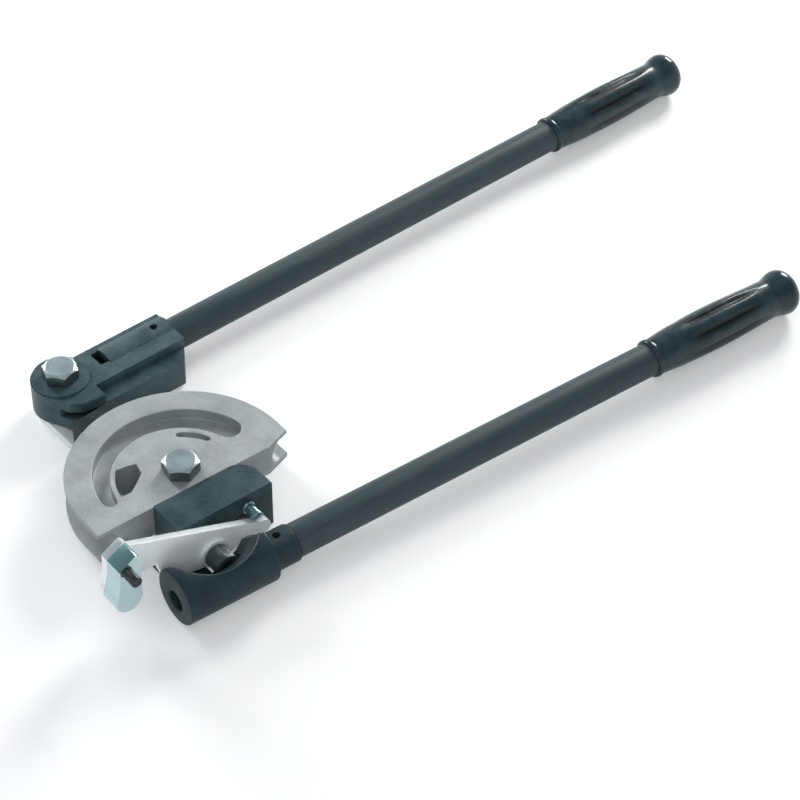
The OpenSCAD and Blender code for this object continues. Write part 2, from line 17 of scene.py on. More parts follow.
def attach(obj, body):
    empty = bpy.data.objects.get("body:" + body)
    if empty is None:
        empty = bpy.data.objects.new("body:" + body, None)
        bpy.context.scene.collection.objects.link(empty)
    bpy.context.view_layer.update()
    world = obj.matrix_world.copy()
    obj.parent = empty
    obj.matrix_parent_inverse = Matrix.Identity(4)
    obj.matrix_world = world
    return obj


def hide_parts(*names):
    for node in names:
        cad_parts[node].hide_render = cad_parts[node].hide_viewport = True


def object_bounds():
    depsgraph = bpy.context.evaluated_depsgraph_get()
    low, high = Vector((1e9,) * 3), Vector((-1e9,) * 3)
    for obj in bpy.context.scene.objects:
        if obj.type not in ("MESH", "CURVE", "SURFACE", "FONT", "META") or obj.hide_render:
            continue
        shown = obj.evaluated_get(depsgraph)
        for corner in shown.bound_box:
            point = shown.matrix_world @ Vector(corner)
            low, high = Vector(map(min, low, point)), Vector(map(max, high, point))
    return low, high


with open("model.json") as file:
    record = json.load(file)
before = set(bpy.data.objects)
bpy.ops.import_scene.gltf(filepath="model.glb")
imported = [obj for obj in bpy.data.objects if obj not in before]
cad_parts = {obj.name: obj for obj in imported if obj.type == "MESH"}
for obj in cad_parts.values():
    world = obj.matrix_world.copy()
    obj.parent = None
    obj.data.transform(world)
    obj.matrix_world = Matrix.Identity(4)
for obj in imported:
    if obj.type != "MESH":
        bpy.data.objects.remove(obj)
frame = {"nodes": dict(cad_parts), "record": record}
cad_low, cad_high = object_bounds()
MM = 0.001
print("solids:", len(frame["nodes"]), "box in mm:", [round(x / MM, 1) for x in cad_high - cad_low])

# %% [markdown]
# ## The camera
# The photograph looks down on the tool from in front and from the left, with the grips going away to
# the upper right. A camera can be aimed with a constraint or turned by Euler angles. Here its three
# axes are written out from a compass angle and a height angle, which is easy to check and to change.

# %% Camera at the photograph's viewing angle
VIEW_AZIMUTH = math.radians(-37.99)
VIEW_HEIGHT = math.radians(42.68)
VIEW_ROLL = math.radians(0.08)
CAMERA_AT = Vector((-0.73244, -1.18717, 1.38346))
LENS_MM, SENSOR_MM = 123.845, 36
SEEN_FROM, SEEN_TO = 0.05, 50

side = Vector((math.cos(VIEW_AZIMUTH), math.sin(VIEW_AZIMUTH), 0))
back = Vector((math.sin(VIEW_AZIMUTH) * math.cos(VIEW_HEIGHT),
               -math.cos(VIEW_AZIMUTH) * math.cos(VIEW_HEIGHT), math.sin(VIEW_HEIGHT)))
up = back.cross(side)
right_rolled = side * math.cos(VIEW_ROLL) + up * math.sin(VIEW_ROLL)
up_rolled = up * math.cos(VIEW_ROLL) - side * math.sin(VIEW_ROLL)
camera_turn = Matrix((right_rolled, up_rolled, back)).transposed().to_4x4()

lens = bpy.data.cameras.new("picture_lens")
lens.lens = LENS_MM
lens.sensor_width = SENSOR_MM
lens.clip_start, lens.clip_end = SEEN_FROM, SEEN_TO
camera = bpy.data.objects.new("picture_camera", lens)
bpy.context.scene.collection.objects.link(camera)
camera.matrix_world = Matrix.Translation(CAMERA_AT) @ camera_turn
bpy.context.scene.camera = camera
print("camera stands", round(CAMERA_AT.length, 2), "m from the centre bolt")

# %% [markdown]
# ## Small helpers for finishes
# Every finish is a node tree: a texture picks between two tones, another sets the roughness, a third
# is the bump. The nodes could be dragged together by hand. In code, a few small helpers keep each
# finish to some readable lines.

# %% Helpers that make and join shader nodes
def new_finish(name):
    """An empty node material: the material, its tree and its main shader."""
    finish = bpy.data.materials.new(name)
    finish.use_nodes = True
    return finish, finish.node_tree, finish.node_tree.nodes["Principled BSDF"]


def add_node(tree, kind, inputs=(), **settings):
    """A node with its settings made and its sockets given a value or joined to another socket."""
    made = tree.nodes.new(kind)
    for key, value in settings.items():
        setattr(made, key, value)
    for key, value in dict(inputs).items():
        if isinstance(value, bpy.types.NodeSocket):
            tree.links.new(value, made.inputs[key])
        else:
            made.inputs[key].default_value = value
    return made


def place_on_piece(tree):
    """Coordinates in metres that stay with the piece when it moves."""
    return add_node(tree, "ShaderNodeTexCoord").outputs["Object"]


def stretched(tree, where, scale):
    """Coordinates drawn out along an axis, for streaks and scratches."""
    return add_node(tree, "ShaderNodeMapping", {"Vector": where, "Scale": scale}).outputs["Vector"]


# %% Helpers for grain, tones and bumps
def speckle(tree, where, per_metre, detail=4.0, rough=0.55):
    """Soft random grain with about that many grains to the metre, from 0 to 1."""
    settings = {"Vector": where, "Scale": per_metre, "Detail": detail, "Roughness": rough}
    return add_node(tree, "ShaderNodeTexNoise", settings).outputs["Fac"]


def spread(tree, value, low, high, from_low=0.35, from_high=0.65):
    """Stretches a value, a grain if nothing else is said, to run from low to high."""
    settings = {"Value": value, "From Min": from_low, "From Max": from_high,
                "To Min": low, "To Max": high}
    return add_node(tree, "ShaderNodeMapRange", settings).outputs["Result"]


def combine(tree, operation, first, second):
    """One number from two, by a sum, a product or the like."""
    return add_node(tree, "ShaderNodeMath", {0: first, 1: second}, operation=operation).outputs[0]


def between(tree, share, first, second):
    """A colour between two, by a share from 0 to 1. Each colour is three numbers or a socket."""
    mix = add_node(tree, "ShaderNodeMix", data_type="RGBA")
    tree.links.new(share, mix.inputs["Factor"])
    for socket, colour in ((mix.inputs[6], first), (mix.inputs[7], second)):
        if isinstance(colour, bpy.types.NodeSocket):
            tree.links.new(colour, socket)
        else:
            socket.default_value = (*colour, 1)
    return mix.outputs[2]


def raised(tree, height, distance, strength=1.0, under=None):
    """A bump from a height, in metres, over another bump if one is given."""
    settings = {"Height": height, "Distance": distance, "Strength": strength}
    bump = add_node(tree, "ShaderNodeBump", settings)
    if under is not None:
        tree.links.new(under, bump.inputs["Normal"])
    return bump.outputs["Normal"]


print("helpers ready")

# %% [markdown]
# ## Slate enamel on the castings and tubes
# The two heads and the handle tubes are painted a dark slate with a hint of teal, satin and a little
# uneven over the rough cast skin. The colour could be one swatch, but real enamel is thinner and
# paler on raised grains, so two tones are mixed by grain of two sizes. The tubes are drawn steel, so
# their skin is smoother: the same finish with a weaker bump and faint lengthwise streaks. On the
# lower head the tone runs darker towards the front, over the barrel, by the place on the piece: a
# painted shade. Slots and inner corners of the castings get painted shade too. It could be painted
# on by place, but an occlusion node finds them by itself: it asks how much of the piece closes in
# round a point, and the colour goes darker where it closes in.

# %% The recipe for slate enamel
BLOTCHES, SKIN_GRAINS, FINE_GRAINS = 60, 220, 700
STREAK_SCALE = (0.06, 1, 1)
ENAMEL_ROUGH = (0.34, 0.50)
ENAMEL_SPECULAR = 0.2
FINE_SHARE = 0.4
# Painted shade: tones and reaches for the darker barrel and for the slots and inner corners.
BARREL_SHADE_TONE, UNSHADED_SHARE = (0.002, 0.009, 0.015), 0.45
SHADE_DEEPEST_AT, SHADE_STARTS_AT = -66 * MM, -54 * MM
CREVICE_SHADE_TONE, CREVICE_SHADE_REACH = (0.002, 0.004, 0.005), 14 * MM


def slate_enamel(name, deep, pale, skin_height, streaks=False, barrel_shade=False):
    """Two tones mixed over a grainy skin, with streaks for a tube, painted crevice shade for a casting
    and painted shade on the barrel if asked.
    """
    finish, tree, shader = new_finish(name)
    where = place_on_piece(tree)
    if streaks:
        where = stretched(tree, where, STREAK_SCALE)
    blotch = speckle(tree, where, BLOTCHES, 5)
    grain = speckle(tree, where, FINE_GRAINS, 3)
    tone = combine(tree, "MULTIPLY", blotch, grain)
    coat = between(tree, spread(tree, tone, 0, 1, 0.16, 0.36), deep, pale)
    # Painted shade: the colour sinks towards a near-black tone from 54 mm to 66 mm in front of the
    # pivot, over the barrel.
    if barrel_shade:
        across = add_node(tree, "ShaderNodeSeparateXYZ", {"Vector": where}).outputs["Y"]
        unshaded = spread(tree, across, UNSHADED_SHARE, 1, SHADE_DEEPEST_AT, SHADE_STARTS_AT)
        coat = between(tree, unshaded, BARREL_SHADE_TONE, coat)
    # Painted shade: slots and inner corners go dark where the occlusion node finds the piece closing
    # in.
    if not streaks:
        openness = add_node(tree, "ShaderNodeAmbientOcclusion", {"Distance": CREVICE_SHADE_REACH},
                            only_local=True).outputs["AO"]
        coat = between(tree, spread(tree, openness, 0, 1, 0.1, 0.6), CREVICE_SHADE_TONE, coat)
    tree.links.new(coat, shader.inputs["Base Color"])
    tree.links.new(spread(tree, blotch, *ENAMEL_ROUGH), shader.inputs["Roughness"])
    shader.inputs["Specular IOR Level"].default_value = ENAMEL_SPECULAR
    skin = raised(tree, speckle(tree, where, SKIN_GRAINS, 4), skin_height)
    fine_skin = raised(tree, grain, skin_height * FINE_SHARE, 0.6, skin)
    tree.links.new(fine_skin, shader.inputs["Normal"])
    return finish


# %% Slate enamel finishes
cast_enamel = slate_enamel("slate_enamel_on_casting", (0.036, 0.066, 0.073), (0.066, 0.109, 0.117),
                           0.35 * MM)
# Painted shade: the shoe gets near-black enamel to stand for the dark slot at the lever head.
shoe_shade_enamel = slate_enamel("shoe_painted_slot_shade", (0.006, 0.012, 0.014), (0.015, 0.026, 0.029),
                           0.30 * MM)
# The lower head's enamel, with painted shade over its barrel.
dark_enamel = slate_enamel("slate_enamel_thick_coat", (0.021, 0.044, 0.049), (0.041, 0.072, 0.078),
                           0.30 * MM, barrel_shade=True)
tube_enamel = slate_enamel("slate_enamel_on_tube", (0.036, 0.054, 0.061), (0.050, 0.070, 0.077),
                           0.04 * MM, streaks=True)
print("enamel finishes:", [f.name for f in (cast_enamel, shoe_shade_enamel, dark_enamel, tube_enamel)])

# %% [markdown]
# ## Sand-cast aluminium on the former
# The former is a bare aluminium casting. Its skin shows the sand of the mould and grey clouds where
# oxide has settled. A metal shader at full strength would mirror the room, which a sand skin doesn't
# do, so the metal share is kept low and the roughness high, with pits from a cell texture.

# %% Sand-cast aluminium finish
CLOUDS, SAND_GRAINS, PITS = 45, 900, 420
CLOUD_DARK, CLOUD_PALE, SAND_PALE = (0.19, 0.215, 0.225), (0.35, 0.375, 0.39), (0.43, 0.455, 0.47)
SAND_METAL, SAND_ROUGH = 0.35, (0.46, 0.66)
PIT_DEPTH, SAND_HEIGHT = 0.12 * MM, 0.20 * MM

sand_cast, tree, shader = new_finish("sand_cast_aluminium")
where = place_on_piece(tree)
cloud = speckle(tree, where, CLOUDS, 6, 0.6)
sand = speckle(tree, where, SAND_GRAINS, 3, 0.6)
cloud_tone = between(tree, spread(tree, cloud, 0, 1, 0.3, 0.7), CLOUD_DARK, CLOUD_PALE)
sand_tone = between(tree, spread(tree, sand, 0, 0.5, 0.3, 0.7), cloud_tone, SAND_PALE)
tree.links.new(sand_tone, shader.inputs["Base Color"])
shader.inputs["Metallic"].default_value = SAND_METAL
tree.links.new(spread(tree, sand, *SAND_ROUGH), shader.inputs["Roughness"])
cells = add_node(tree, "ShaderNodeTexVoronoi", {"Vector": where, "Scale": PITS})
pitted = raised(tree, cells.outputs["Distance"], PIT_DEPTH, 0.5)
tree.links.new(raised(tree, sand, SAND_HEIGHT, 0.8, pitted), shader.inputs["Normal"])
print("casting finish:", sand_cast.name)

# %% [markdown]
# ## Plated and blackened steel
# The link is bright zinc, the latch plate zinc, the jaw and stop pin zinc with a blue passivation, the
# two big bolts a duller zinc, and the small screws are blackened steel with an oil finish. Colour
# comes mostly from what they reflect. The plating is told from plain steel by its cool tint and by
# soft spangles, which a cell texture gives. The finish also paints light and shade by which way a face
# looks: faces that don't look up get a painted shade on the big bolts' flats, and a pale painted
# reflection of the white floor on the sides of the latch, jaw and stop pin. The latch's tops are
# darker.

# %% The recipe for metal finishes
SCRATCHES = 2600
BRUSHED_SCALE = (1, 0.05, 1)
STEEP_BELOW, LEVEL_ABOVE = 0.25, 0.7


def plated_metal(name, dark, light, metal, rough, spangles, scratch_height, painted_side_tone=None):
    """Two tones mixed by spangles over fine scratches, with a tone of painted light or shade on faces
    that don't look up, if given.
    """
    finish, tree, shader = new_finish(name)
    where = place_on_piece(tree)
    cells = add_node(tree, "ShaderNodeTexVoronoi", {"Vector": where, "Scale": spangles},
                     feature="SMOOTH_F1")
    haze = speckle(tree, where, spangles * 0.4, 5)
    share = combine(tree, "ADD", cells.outputs["Distance"], haze)
    tone = between(tree, spread(tree, share, 0, 1, 0.6, 1.1), dark, light)
    # Painted light and shade by facing: faces whose normal doesn't point up take the given tone.
    if painted_side_tone:
        facing = add_node(tree, "ShaderNodeNewGeometry").outputs["Normal"]
        upward = add_node(tree, "ShaderNodeSeparateXYZ", {"Vector": facing}).outputs["Z"]
        level = spread(tree, upward, 0, 1, STEEP_BELOW, LEVEL_ABOVE)
        tone = between(tree, level, painted_side_tone, tone)
    tree.links.new(tone, shader.inputs["Base Color"])
    shader.inputs["Metallic"].default_value = metal
    tree.links.new(spread(tree, haze, *rough), shader.inputs["Roughness"])
    scratches = speckle(tree, stretched(tree, where, BRUSHED_SCALE), SCRATCHES, 2)
    tree.links.new(raised(tree, scratches, scratch_height, 0.5), shader.inputs["Normal"])
    return finish


# %% Zinc finishes
FINE_SCRATCH, COARSE_SCRATCH = 0.01 * MM, 0.02 * MM

bright_zinc = plated_metal("bright_zinc_plate", (0.80, 0.86, 0.87), (0.87, 0.91, 0.92),
                           metal=0.12, rough=(0.34, 0.44), spangles=120,
                           scratch_height=FINE_SCRATCH)
# Painted light: the latch's sides near white as a painted reflection of the floor, its tops darker.
latch_zinc = plated_metal("latch_zinc_painted_light", (0.36, 0.395, 0.405), (0.42, 0.455, 0.465),
                          metal=0.04, rough=(0.40, 0.50), spangles=120,
                          scratch_height=FINE_SCRATCH, painted_side_tone=(0.95, 0.965, 0.97))
# Painted reflection: the sides of the jaw and stop pin pale, as if mirroring the floor.
blue_zinc = plated_metal("blue_passivated_zinc", (0.16, 0.32, 0.335), (0.22, 0.385, 0.40),
                         metal=0.85, rough=(0.16, 0.24), spangles=90,
                         scratch_height=FINE_SCRATCH, painted_side_tone=(0.49, 0.64, 0.645))
# Painted shade: the flats of the big bolts dark.
dull_zinc = plated_metal("dull_zinc_bolts", (0.31, 0.39, 0.40), (0.40, 0.49, 0.50),
                         metal=0.75, rough=(0.28, 0.40), spangles=110,
                         scratch_height=COARSE_SCRATCH, painted_side_tone=(0.10, 0.13, 0.135))
print("zinc finishes:", [f.name for f in (bright_zinc, latch_zinc, blue_zinc, dull_zinc)])

# %% Dark screws and bronze bushes
phosphated = plated_metal("phosphated_screw", (0.040, 0.055, 0.060), (0.075, 0.095, 0.102),
                          metal=0.4, rough=(0.30, 0.45), spangles=500,
                          scratch_height=COARSE_SCRATCH)
blackened = plated_metal("blackened_steel", (0.011, 0.015, 0.017), (0.036, 0.043, 0.047),
                         metal=0.5, rough=(0.28, 0.45), spangles=500,
                         scratch_height=COARSE_SCRATCH)
bearing_bronze = plated_metal("bearing_bronze", (0.40, 0.24, 0.10), (0.58, 0.38, 0.18),
                              metal=0.9, rough=(0.30, 0.45), spangles=300,
                              scratch_height=COARSE_SCRATCH)
print("other metal finishes:", [f.name for f in (phosphated, blackened, bearing_bronze)])

# %% [markdown]
# ## Black moulded grips
# The grips are thick black mouldings with a wet-looking gloss. A clear coat over a nearly black base
# gives the sharp highlights, and a very fine grain keeps them from looking like glass. The hollows of
# their flutes get a painted shade, near black. A picture could be painted for that, but the lathe
# further down writes each point's depth below its ring as an attribute, so the finish simply reads the
# depth.

# %% Grip finish
SMEARS, GRIP_GRAINS = 90, 1800
RIDGE_DARK, RIDGE_PALE, FLUTE_SHADE_TONE = (0.012, 0.027, 0.032), (0.024, 0.046, 0.053), (0.002, 0.004, 0.005)
GRIP_ROUGH, GRIP_SPECULAR = (0.20, 0.34), 0.12
COAT_WEIGHT, COAT_ROUGH = 0.35, 0.05
GRIP_GRAIN_HEIGHT = 0.012 * MM

grip_black, tree, shader = new_finish("black_grip_moulding")
where = place_on_piece(tree)
smear = speckle(tree, where, SMEARS, 4)
ridge = between(tree, spread(tree, smear, 0, 1), RIDGE_DARK, RIDGE_PALE)
# Painted shade: the deeper a point sits in a flute, the nearer its colour goes to near black.
depth = add_node(tree, "ShaderNodeAttribute", attribute_name="hollow").outputs["Fac"]
flute_shade = spread(tree, depth, 0, 1, 0.1, 0.8)
tree.links.new(between(tree, flute_shade, ridge, FLUTE_SHADE_TONE), shader.inputs["Base Color"])
tree.links.new(spread(tree, smear, *GRIP_ROUGH), shader.inputs["Roughness"])
shader.inputs["Specular IOR Level"].default_value = GRIP_SPECULAR
shader.inputs["Coat Weight"].default_value = COAT_WEIGHT
shader.inputs["Coat Roughness"].default_value = COAT_ROUGH
grip_grain = speckle(tree, where, GRIP_GRAINS, 2)
tree.links.new(raised(tree, grip_grain, GRIP_GRAIN_HEIGHT, 0.5), shader.inputs["Normal"])
print("grip finish:", grip_black.name)

# %% [markdown]
# ## Rounded edges on the castings
# No casting leaves its mould with knife edges: each corner has a small round that catches a line of
# light. A bevel drawn only in the shader would vanish in the exported shape, so a copy of each
# solid's mesh gets real bevels. Blender can clamp a bevel so that it never folds, but then one tiny
# hole holds back the round of the whole casting. So the bevel runs unclamped, every spot that came
# out folded or off the old skin is noted, and the corners round it keep their edge in the next try.

# %% Corners of a mesh, and spots that a bevel has spoiled
CORNER_ANGLE = math.radians(28)
SLIVER = (0.1 * MM) ** 2
FAR_FROM_SKIN, PROUD_OF_SKIN = 0.75, 0.45
FOLDED_OVER = 0.1


def sharp_corners(work, keep_sharp, reach, leave):
    """The corners of a mesh, without those beside a spot that stays sharp or that are to be left."""
    found = []
    for edge in work.edges:
        if len(edge.link_faces) == 2 and edge.calc_face_angle(0) > CORNER_ANGLE:
            middle = (edge.verts[0].co + edge.verts[1].co) / 2
            room = reach + edge.calc_length() / 2
            if not leave(middle) and all((middle - spot).length > room for spot in keep_sharp):
                found.append(edge)
    return found


def spoiled_spots(work, skin, size):
    """Places where a bevelled mesh has left the old skin or has folded over."""
    spots = []
    for vert in work.verts:
        near, normal, _, gap = skin.find_nearest(vert.co)
        outside = (vert.co - near).dot(normal)
        if gap > FAR_FROM_SKIN * size or outside > PROUD_OF_SKIN * size:
            spots.append(vert.co.copy())
    for face in work.faces:
        middle = face.calc_center_median()
        agrees = face.normal.dot(skin.find_nearest(middle)[1])
        if agrees < FOLDED_OVER and face.calc_area() > SLIVER:
            spots.append(middle)
    return spots


# %% Helpers that shade a mesh and put it in the scene
def shade_smooth(work):
    """Smooth shading everywhere but over the corners."""
    for face in work.faces:
        face.smooth = True
    for edge in work.edges:
        edge.smooth = edge.calc_face_angle(0) < CORNER_ANGLE


def add_piece(piece_name, mesh, finish, body, node):
    """A piece in the scene that rides on a body and stands for one CAD node."""
    mesh.name = piece_name
    mesh.materials.clear()
    mesh.materials.append(finish)
    piece = bpy.data.objects.new(piece_name, mesh)
    bpy.context.scene.collection.objects.link(piece)
    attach(piece, body)
    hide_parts(node)


# %% A helper that rounds the corners of a solid's copy
FLAT_ANGLE = math.radians(0.6)
WELD = 0.002 * MM
TRIES = 4
BEVEL_ROWS = 4
CLEARANCE = 3.5


def rounded_copy(node, piece_name, finish, body, corner, leave=lambda place: False):
    """A piece with bevelled corners that stands for one CAD node."""
    mesh = frame["nodes"][node].data.copy()
    plain = bmesh.new()
    plain.from_mesh(mesh)
    bmesh.ops.remove_doubles(plain, verts=plain.verts, dist=WELD)
    bmesh.ops.dissolve_limit(plain, angle_limit=FLAT_ANGLE, verts=plain.verts, edges=plain.edges)
    skin = BVHTree.FromBMesh(plain)
    keep_sharp = []
    for _ in range(TRIES):
        work = plain.copy()
        corners = sharp_corners(work, keep_sharp, CLEARANCE * corner, leave)
        bmesh.ops.bevel(work, geom=corners, offset=corner, segments=BEVEL_ROWS, profile=0.5,
                        affect="EDGES", clamp_overlap=False)
        spoiled = spoiled_spots(work, skin, corner)
        if not spoiled:
            break
        keep_sharp += spoiled
    bmesh.ops.triangulate(work, faces=[f for f in work.faces if len(f.verts) > 4])
    shade_smooth(work)
    work.to_mesh(mesh)
    work.free()
    plain.free()
    add_piece(piece_name, mesh, finish, body, node)
    print(piece_name, "rounded corners:", len(corners), "spots left:", len(spoiled),
          "faces:", len(mesh.polygons))


# %% The former, with the edges of its window left sharp
RECESS_CENTRE = Vector((-4, -2.5)) * MM
WINDOW_REACH = 46.2 * MM
WINDOW_RIGHT, WINDOW_FRONT = -20.5 * MM, 2 * MM


def in_window(place):
    """True beside the former's window, which is milled through and keeps its edges."""
    near_recess = (place.xy - RECESS_CENTRE).length < WINDOW_REACH
    return place.x < WINDOW_RIGHT and place.y > WINDOW_FRONT and near_recess


rounded_copy("former", "former_casting", sand_cast, "former_side", 0.8 * MM,
             leave=in_window)

# %% The other rounded castings, plates and bolts
# Each row: CAD node, piece, finish, slot, body and the round of its corners in mm.
ROUNDED = (
    ("lower_head", "lower_head_casting", dark_enamel, "painted_casting", "former_side", 1.2),
    ("lever_head", "lever_head_casting", cast_enamel, "painted_casting", "lever", 1.6),
    ("shoe", "shoe_casting", shoe_shade_enamel, "painted_casting", "link", 0.8),
    ("link_arm", "link_bar", bright_zinc, "zinc_plate", "link", 0.5),
    ("latch_plate", "latch_plate_blank", latch_zinc, "zinc_plate", "latch", 0.4),
    ("latch_jaw", "latch_jaw_block", blue_zinc, "zinc_plate", "latch", 0.9),
    ("pivot_bolt", "centre_bolt", dull_zinc, "bolt_steel", "link", 0.5),
    ("lever_bolt", "lever_end_bolt", dull_zinc, "bolt_steel", "link", 0.5),
    ("stop_pin", "stop_pin_turned", blue_zinc, "zinc_plate", "former_side", 0.6),
    ("jaw_pin", "jaw_pin_turned", blackened, "black_oxide", "latch", 0.6),
)
for node, piece_name, finish, slot, body, corner_mm in ROUNDED:
    rounded_copy(node, piece_name, finish, body, corner_mm * MM)

# %% [markdown]
# ## Turned and moulded round pieces
# Grips and screws are round about one axis. Blender's Spin or Screw tools could sweep an outline, but
# neither lets the outline change with the angle, as a fluted grip or a knurled screw needs. So a
# small lathe is written out: a list of rings, each with a station along the axis and a radius that
# may be a plain number or a function of the angle.

# %% A small lathe in mesh code
FLUTE_DEPTH = 1.6 * MM


def ring_of_points(work, hollow, station, radius, around, place):
    """One ring of the lathe. Each point keeps its depth below the ring, as a share of a flute's."""
    if radius == 0:
        return [work.verts.new(place @ Vector((station, 0, 0)))]
    angles = [2 * math.pi * step / around for step in range(around)]
    radii = [radius(angle) if callable(radius) else radius for angle in angles]
    row = []
    for angle, r in zip(angles, radii):
        point = Vector((station, r * math.cos(angle), r * math.sin(angle)))
        vert = work.verts.new(place @ point)
        vert[hollow] = (max(radii) - r) / FLUTE_DEPTH
        row.append(vert)
    return row


def lathe(piece_name, rings, around, place, finish, body, node):
    """A closed round piece along local X, set in place by a matrix, that stands for one CAD node."""
    work = bmesh.new()
    hollow = work.verts.layers.float.new("hollow")
    rows = [ring_of_points(work, hollow, station, radius, around, place)
            for station, radius in rings]
    for one, two in zip(rows, rows[1:]):
        for step in range(around):
            after = (step + 1) % around
            loop = [one[step % len(one)], two[step % len(two)],
                    two[after % len(two)], one[after % len(one)]]
            work.faces.new(list(dict.fromkeys(loop)))
    bmesh.ops.recalc_face_normals(work, faces=work.faces)
    shade_smooth(work)
    mesh = bpy.data.meshes.new(piece_name)
    work.to_mesh(mesh)
    work.free()
    add_piece(piece_name, mesh, finish, body, node)
    print(piece_name, "rings:", len(rings), "faces:", len(mesh.polygons))


# %% [markdown]
# ## The moulded grips
# Each grip starts with a thin collar, swells for the palm, draws in again and ends in a round knob.
# Flutes run along the swell and fade out at both ends. The collar and knob could be separate rings,
# but the real grip is one moulding, so one outline with a fading flute depth gives the same soft
# transitions.

# %% The swell of a grip and its flutes
GRIP_NECK, GRIP_WAIST, GRIP_SWELL = 14.15 * MM, 15.05 * MM, 2.75 * MM
BODY_FROM, BODY_TO = 6 * MM, 117 * MM
FLUTES = 8
FLUTE_STARTS, FLUTE_ENDS = (24 * MM, 50 * MM), (84 * MM, 114 * MM)


def ease(x, low, high):
    """0 below low, 1 above high, and a smooth step between."""
    t = min(1, max(0, (x - low) / (high - low)))
    return t * t * (3 - 2 * t)


def body_radius(x):
    """The radius of the grip's ridges at a station of the swell."""
    along = (x - BODY_FROM) / (BODY_TO - BODY_FROM)
    swell = GRIP_SWELL * math.sin(math.pi * along ** 0.9)
    return GRIP_NECK + swell + (GRIP_WAIST - GRIP_NECK) * along ** 2


def fluted(x, radius):
    """A radius by the angle, with flutes that fade at both ends of the swell."""
    depth = FLUTE_DEPTH * ease(x, *FLUTE_STARTS) * (1 - ease(x, *FLUTE_ENDS))
    return lambda angle: radius - depth * (0.5 + 0.5 * math.cos(FLUTES * angle)) ** 2


# %% Outline of a grip
GRIP_LENGTH = 142 * MM
GRIP_BORE, GRIP_BORE_END = 12.72 * MM, 132 * MM
GRIP_KNOB, KNOB_AT = 17.95 * MM, 131 * MM
COLLAR = ((0, 13.6), (0.4, 14.3), (1.0, 14.8), (1.8, 15.0), (3.0, 15.0), (3.8, 14.8), (4.3, 14.3),
          (4.7, 14.0), (5.3, 14.0))
BODY_STEPS = 56
KNOB_FLANK = (119, 121, 123, 125, 127, 129)
KNOB_DEGREES = range(0, 90, 6)
KNOB_FULLNESS = 0.75

grip_rings = [(GRIP_BORE_END, 0), (GRIP_BORE_END, GRIP_BORE), (0, GRIP_BORE)]
grip_rings += [(x * MM, r * MM) for x, r in COLLAR]
for step in range(BODY_STEPS + 1):
    x = BODY_FROM + (BODY_TO - BODY_FROM) * step / BODY_STEPS
    grip_rings.append((x, fluted(x, body_radius(x))))
for x_mm in KNOB_FLANK:
    rise = (GRIP_KNOB - GRIP_WAIST) * ease(x_mm * MM, BODY_TO, KNOB_AT)
    grip_rings.append((x_mm * MM, GRIP_WAIST + rise))
for degrees in KNOB_DEGREES:
    sine, cosine = math.sin(math.radians(degrees)), math.cos(math.radians(degrees))
    station = KNOB_AT + (GRIP_LENGTH - KNOB_AT) * sine
    grip_rings.append((station, GRIP_KNOB * cosine ** KNOB_FULLNESS))
grip_rings.append((GRIP_LENGTH, 0))
print("grip outline has", len(grip_rings), "rings")

# %% Both grips on their tubes
HANDLE_HEIGHT = 18 * MM
LOWER_FROM = Vector((0, -87.5 * MM, HANDLE_HEIGHT))
LEVER_FROM = Vector((-12.0275 * MM, 137.4749 * MM, HANDLE_HEIGHT))
LOWER_SPLAY, LEVER_SPLAY = math.radians(-1.8), math.radians(2.3)
LOWER_GRIP_AT, LEVER_GRIP_AT = 352 * MM, 482 * MM
GRIP_SIDES = 96


def on_handle(start, splay, along):
    """The place of a grip some way along a handle that is turned a little from the X axis."""
    turn = Matrix.Rotation(splay, 4, "Z")
    return Matrix.Translation(start) @ turn @ Matrix.Translation((along, 0, 0))


lathe("lower_grip_moulding", grip_rings, GRIP_SIDES,
      on_handle(LOWER_FROM, LOWER_SPLAY, LOWER_GRIP_AT),
      grip_black, "former_side", "lower_grip")
lathe("lever_grip_moulding", grip_rings, GRIP_SIDES,
      on_handle(LEVER_FROM, LEVER_SPLAY, LEVER_GRIP_AT),
      grip_black, "lever", "lever_grip")

# %% [markdown]
# ## The latch screw
# The latch turns on a dark socket screw. Its head has a straight knurl round the side, a small
# chamfer and a six-sided socket. A boolean cut could make the socket. Here the ring's radius simply
# follows a hexagon, so the rings of the lathe do it without a cut.

# %% Socket screw with a knurled head
SCREW_SIDES = 144
SCREW_HEAD, SOCKET_FLATS = 9.0 * MM, 9.0 * MM
KNURL_RIDGES, KNURL_DEPTH = 36, 0.28 * MM
SCREW_AT = (-18.5 * MM, -35.5 * MM, 19 * MM)
SHANK = ((0, 0), (0, 4.0), (15, 4.0), (15.01, 5.0), (31.1, 5.0), (31.11, 8.3))
KNURLED_AT = (31.5, 36, 40.5, 45)
CHAMFER = ((45.7, 8.6), (46.08, 8.0), (46.1, 6.6))
SOCKET_WALL_AT = (46.1, 45.6, 38.0)
SOCKET_FLOOR = ((37.4, 2.0), (37.0, 0))


def knurl(angle):
    """The radius of the screw's head, with a shallow groove between ridges."""
    return SCREW_HEAD - KNURL_DEPTH * (0.5 - 0.5 * math.cos(KNURL_RIDGES * angle))


def hexagon(angle):
    """The radius of the six-sided socket."""
    sixth = math.pi / 3
    return SOCKET_FLATS / 2 / math.cos((angle % sixth) - sixth / 2)


screw_rings = [(x * MM, r * MM) for x, r in SHANK]
screw_rings += [(x * MM, knurl) for x in KNURLED_AT]
screw_rings += [(x * MM, r * MM) for x, r in CHAMFER]
screw_rings += [(x * MM, hexagon) for x in SOCKET_WALL_AT]
screw_rings += [(x * MM, r * MM) for x, r in SOCKET_FLOOR]
screw_place = Matrix.Translation(SCREW_AT) @ Matrix.Rotation(math.radians(-90), 4, "Z")
lathe("latch_socket_screw", screw_rings, SCREW_SIDES, screw_place, phosphated,
      "former_side", "latch_screw")

